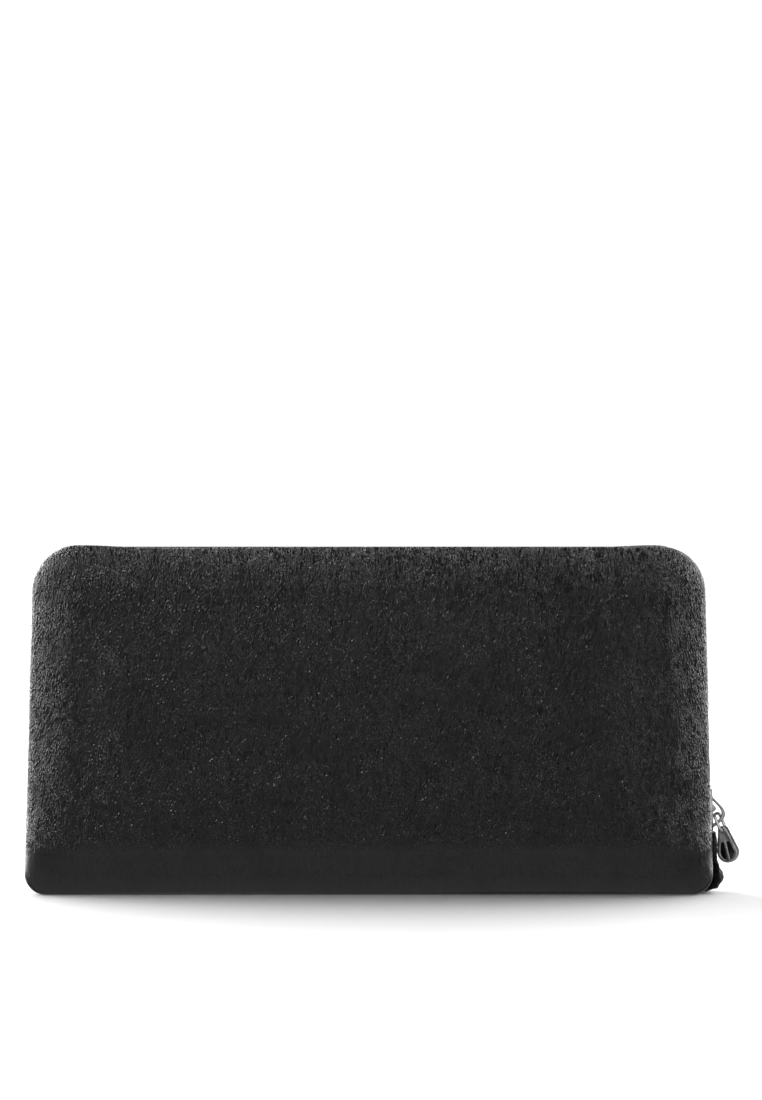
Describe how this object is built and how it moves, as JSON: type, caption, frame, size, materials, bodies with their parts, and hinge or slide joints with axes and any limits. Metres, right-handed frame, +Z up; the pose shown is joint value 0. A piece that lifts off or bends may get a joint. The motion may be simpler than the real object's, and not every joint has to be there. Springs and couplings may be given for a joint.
{
  "type": "long wallet",
  "caption": "Zip-around long wallet in soft black grained leather, standing on its spine, with card pockets, dividers and a zipped coin pocket inside.",
  "frame": {"origin": "middle of the flat underside of the spine, which the wallet stands on", "axes": "+X along the spine towards the zip's slider, +Y from the front cover to the back cover, +Z up to the zip side"},
  "size_m": [0.2058, 0.026, 0.1],
  "materials": {
    "leather": "soft grained",
    "spine_leather": "soft grained",
    "inner_leather": "smooth",
    "lining": "fine twill",
    "foam": "foam",
    "board": "matt",
    "tape": "woven",
    "metal": "polished nickel",
    "teeth": "polished",
    "enamel": "black"
  },
  "bodies": {
    "spine": {"spine_leather": "spine_leather", "spine_lining": "lining", "coin_pocket_front_wall": "lining", "coin_pocket_back_wall": "lining", "coin_pocket_seam": "lining", "coin_zip_front_tape": "tape", "coin_zip_back_tape": "tape", "coin_zip_front_teeth": "teeth", "coin_zip_back_teeth": "teeth", "coin_zip_stops": "teeth", "zip_tail": "tape", "zip_start_tab": "spine_leather", "zip_bottom_stop": "teeth", "front_left_gusset": "lining", "front_right_gusset": "lining", "back_left_gusset": "lining", "back_right_gusset": "lining"},
    "front_cover": {"front_leather": "leather", "front_padding": "foam", "front_board": "board", "front_lining": "lining", "front_card_pocket_1": "inner_leather", "front_card_pocket_2": "inner_leather", "front_card_pocket_3": "inner_leather", "front_card_pocket_4": "inner_leather", "front_zip_tape": "tape", "front_zip_teeth": "teeth", "front_zip_top_stop": "teeth"},
    "back_cover": {"back_leather": "leather", "back_padding": "foam", "back_board": "board", "back_lining": "lining", "back_card_pocket_1": "inner_leather", "back_card_pocket_2": "inner_leather", "back_card_pocket_3": "inner_leather", "back_card_pocket_4": "inner_leather", "back_zip_tape": "tape", "back_zip_teeth": "teeth", "back_zip_top_stop": "teeth"},
    "front_divider": {"front_divider": "lining", "front_divider_binding": "inner_leather"},
    "back_divider": {"back_divider": "lining", "back_divider_binding": "inner_leather"},
    "zip_slider": {"slider_body": "metal", "slider_bridge": "metal"},
    "zip_pull_ring": {"pull_ring": "metal"},
    "zip_pull": {"pull_tab": "metal", "pull_inlays": "enamel"},
    "coin_slider": {"coin_slider_body": "metal", "coin_slider_bridge": "metal"},
    "coin_pull": {"coin_pull": "inner_leather"}
  },
  "joints": [
    {"name": "front_cover_open", "type": "hinge", "parent": "spine", "child": "front_cover", "pos_m": [0, -0.0085, 0.0006], "axis": [1, 0, 0], "range_deg": [0, 30], "deforming": ["front_left_gusset", "front_right_gusset"]},
    {"name": "back_cover_open", "type": "hinge", "parent": "spine", "child": "back_cover", "pos_m": [0, 0.0085, 0.0006], "axis": [-1, 0, 0], "range_deg": [0, 30], "deforming": ["back_left_gusset", "back_right_gusset"]},
    {"name": "front_divider_fan", "type": "hinge", "parent": "spine", "child": "front_divider", "pos_m": [0, -0.0044, 0.0025], "axis": [1, 0, 0], "range_deg": [0, 15]},
    {"name": "back_divider_fan", "type": "hinge", "parent": "spine", "child": "back_divider", "pos_m": [0, 0.0044, 0.0025], "axis": [-1, 0, 0], "range_deg": [0, 15]},
    {"name": "zip_slider_travel", "type": "slide", "parent": "back_cover", "child": "zip_slider", "axis": [-0.026, 0, 0.9997], "range_m": [0, 0.055], "deforming": ["front_zip_teeth", "back_zip_teeth"]},
    {"name": "pull_ring_swing", "type": "hinge", "parent": "zip_slider", "child": "zip_pull_ring", "pos_m": [0.10061, 0, 0.0227], "axis": [-0.4225, -0.9063, -0.011], "range_deg": [0, 90]},
    {"name": "pull_tab_swing", "type": "hinge", "parent": "zip_pull_ring", "child": "zip_pull", "pos_m": [0.1025, -0.00082, 0.01793], "axis": [-0.4225, -0.9063, -0.011], "range_deg": [0, 90]},
    {"name": "coin_slider_travel", "type": "slide", "parent": "spine", "child": "coin_slider", "axis": [1, 0, 0], "range_m": [-0.13, 0], "deforming": ["coin_zip_front_teeth", "coin_zip_back_teeth"]},
    {"name": "coin_pull_swing", "type": "hinge", "parent": "coin_slider", "child": "coin_pull", "pos_m": [0.066, 0, 0.079], "axis": [0, 1, 0], "range_deg": [0, 165]}
  ],
  "couplings": [
    {"joint": "back_cover_open", "follows": "front_cover_open", "ratio": 1},
    {"joint": "front_divider_fan", "follows": "front_cover_open", "ratio": 0.5},
    {"joint": "back_divider_fan", "follows": "front_cover_open", "ratio": 0.5}
  ]
}
